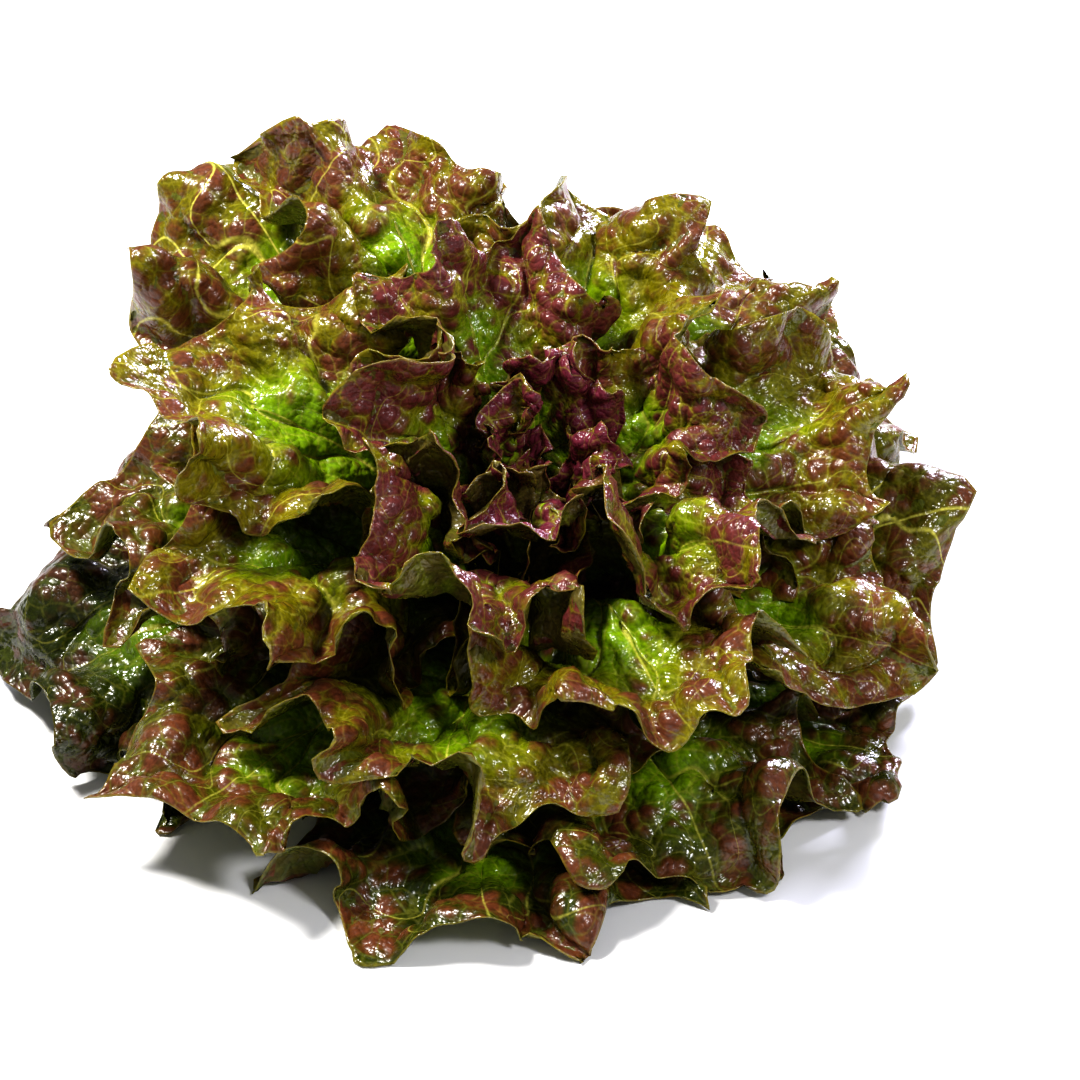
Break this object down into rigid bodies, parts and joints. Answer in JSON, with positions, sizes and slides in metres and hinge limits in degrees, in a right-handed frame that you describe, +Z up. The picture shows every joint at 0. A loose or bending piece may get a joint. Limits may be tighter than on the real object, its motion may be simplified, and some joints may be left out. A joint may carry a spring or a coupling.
{
  "type": "red leaf lettuce head",
  "caption": "Cut head of red leaf lettuce with ruffled red-green leaves round a dark heart, leaning on its front leaves.",
  "frame": {"origin": "centre of the stem's cut face, on the surface that the head rests on", "axes": "+Z up from that surface; the head leans towards -Y and a little towards +X, the side its heart shows from"},
  "size_m": [0.3587, 0.3461, 0.17],
  "materials": {
    "outer_leaf": "glossy blistered leaf, dark green to olive brown, pale veins",
    "middle_leaf": "glossy blistered leaf, bright green at the rib, red brown towards the edge, pale veins",
    "inner_leaf": "glossy finely blistered leaf, green at the rib, red brown to wine red towards the edge",
    "heart_leaf": "glossy finely blistered leaf, wine red to purple",
    "stem": "moist pale green stem with a cream cut face"
  },
  "bodies": {
    "root": {"stem": "stem", "leaf_outer_back": "outer_leaf", "leaf_outer_left_back": "outer_leaf", "leaf_outer_front": "outer_leaf", "leaf_outer_right_low": "outer_leaf", "leaf_outer_left_low": "outer_leaf", "leaf_outer_front_right": "outer_leaf", "leaf_outer_front_left": "outer_leaf", "leaf_outer_right_back": "outer_leaf", "leaf_outer_left": "outer_leaf", "leaf_outer_right": "outer_leaf", "leaf_outer_back_right": "outer_leaf", "leaf_outer_back_left": "outer_leaf", "leaf_middle_front": "middle_leaf", "leaf_middle_right": "middle_leaf", "leaf_middle_left_low": "middle_leaf", "leaf_middle_right_back": "middle_leaf", "leaf_middle_back": "middle_leaf", "leaf_middle_front_right": "middle_leaf", "leaf_middle_left": "middle_leaf", "leaf_middle_back_right": "middle_leaf", "leaf_inner_front": "inner_leaf", "leaf_inner_right": "inner_leaf", "leaf_inner_back": "inner_leaf", "leaf_inner_left": "inner_leaf", "leaf_inner_right_back": "inner_leaf", "leaf_heart_front": "heart_leaf", "leaf_heart_back": "heart_leaf", "leaf_heart_left": "heart_leaf", "leaf_heart_right": "heart_leaf", "leaf_heart_middle": "heart_leaf"}
  },
  "joints": []
}
